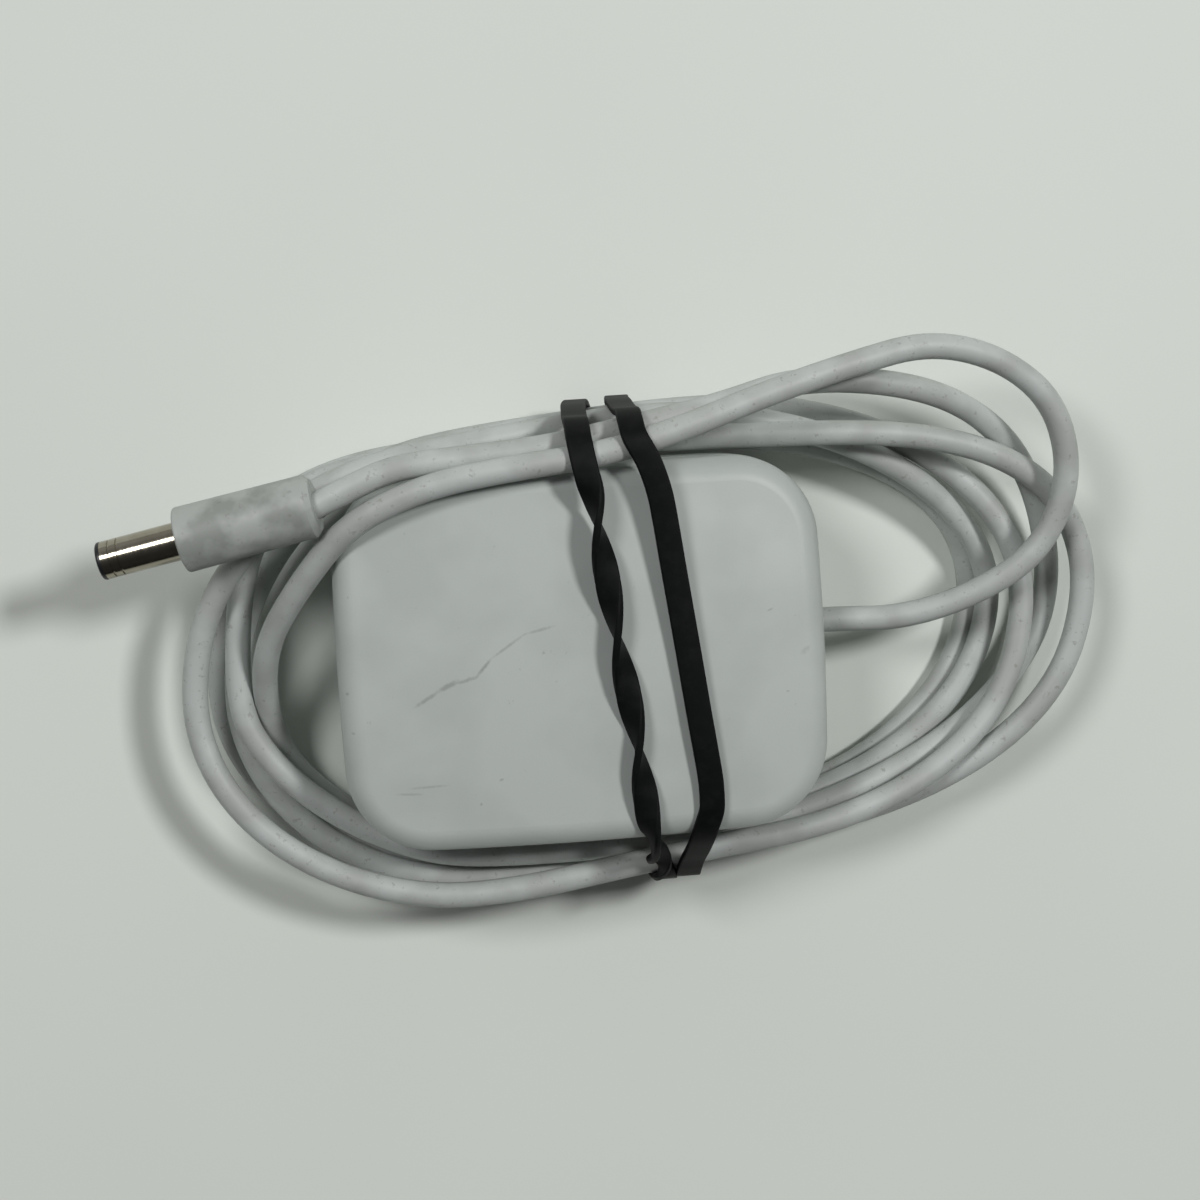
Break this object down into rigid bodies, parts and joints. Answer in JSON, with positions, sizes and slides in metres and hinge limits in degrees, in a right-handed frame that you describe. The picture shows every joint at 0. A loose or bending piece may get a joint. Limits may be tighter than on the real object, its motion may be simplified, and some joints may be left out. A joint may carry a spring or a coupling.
{
  "type": "plug-in mains adapter for a mesh wifi node",
  "caption": "White plug-in mains adapter of a mesh wifi node, its thin cord wound round it in a hank under a black rubber band, with a barrel plug.",
  "frame": {"origin": "middle of the casing, on the rear plateau that faces the outlet", "axes": "+X towards the cord exit, +Y across the casing, +Z out of the front face"},
  "size_m": [0.1318, 0.0747, 0.0322],
  "materials": {
    "cover_plastic": "satin moulded polycarbonate blend, off white",
    "cord_jacket": "soft satin jacket, warm off white",
    "plug_plastic": "satin overmould, off white",
    "band_rubber": "matt black rubber",
    "plug_nickel": "bright nickel plate",
    "black_insulator": "satin black nylon",
    "blade_nickel": "nickel plated brass, lightly drawn",
    "hub_plastic": "satin moulded, off white",
    "spring_bronze": "bright phosphor bronze",
    "board_laminate": "green glass epoxy with solder mask",
    "black_resin": "matt black moulded resin",
    "can_sleeve": "glossy shrink sleeve",
    "disc_epoxy": "glossy dipped coating",
    "film_case": "glossy yellow case",
    "ferrite": "matt grey ferrite",
    "copper_winding": "enamelled copper under clear tape",
    "barrier_sheet": "white aramid paper",
    "wire_sleeve": "satin insulation"
  },
  "bodies": {
    "casing": {"front_cover": "cover_plastic", "rear_cover": "cover_plastic", "blade_retainer": "hub_plastic", "contact_spring_live": "spring_bronze", "contact_spring_neutral": "spring_bronze", "circuit_board": "board_laminate", "mains_fuse": "black_resin", "surge_varistor": "disc_epoxy", "x_capacitor": "film_case", "line_choke": "copper_winding", "bridge_rectifier": "black_resin", "switching_controller": "black_resin", "bulk_capacitor_1": "can_sleeve", "bulk_capacitor_2": "can_sleeve", "transformer_core": "ferrite", "transformer_bobbin": "black_resin", "transformer_winding": "copper_winding", "insulation_barrier": "barrier_sheet", "y_capacitor": "disc_epoxy", "optocoupler": "black_resin", "output_rectifier": "black_resin", "output_capacitor_1": "can_sleeve", "output_capacitor_2": "can_sleeve", "output_choke": "ferrite", "output_leads": "wire_sleeve", "cord_grommet": "cord_jacket", "cord_lead": "cord_jacket", "cord_coil": "cord_jacket", "cord_tail": "cord_jacket", "plug_housing": "plug_plastic", "plug_barrel": "plug_nickel", "plug_insulator": "black_insulator", "plug_inner_contact": "plug_nickel", "rubber_band": "band_rubber"},
    "blades": {"blade_hub": "hub_plastic", "blade_live": "blade_nickel", "blade_neutral": "blade_nickel"}
  },
  "joints": [
    {"name": "blade_fold", "type": "hinge", "parent": "casing", "child": "blades", "pos_m": [-0.003, 0, 0.00347], "axis": [0, -1, 0], "range_deg": [0, 90]}
  ]
}
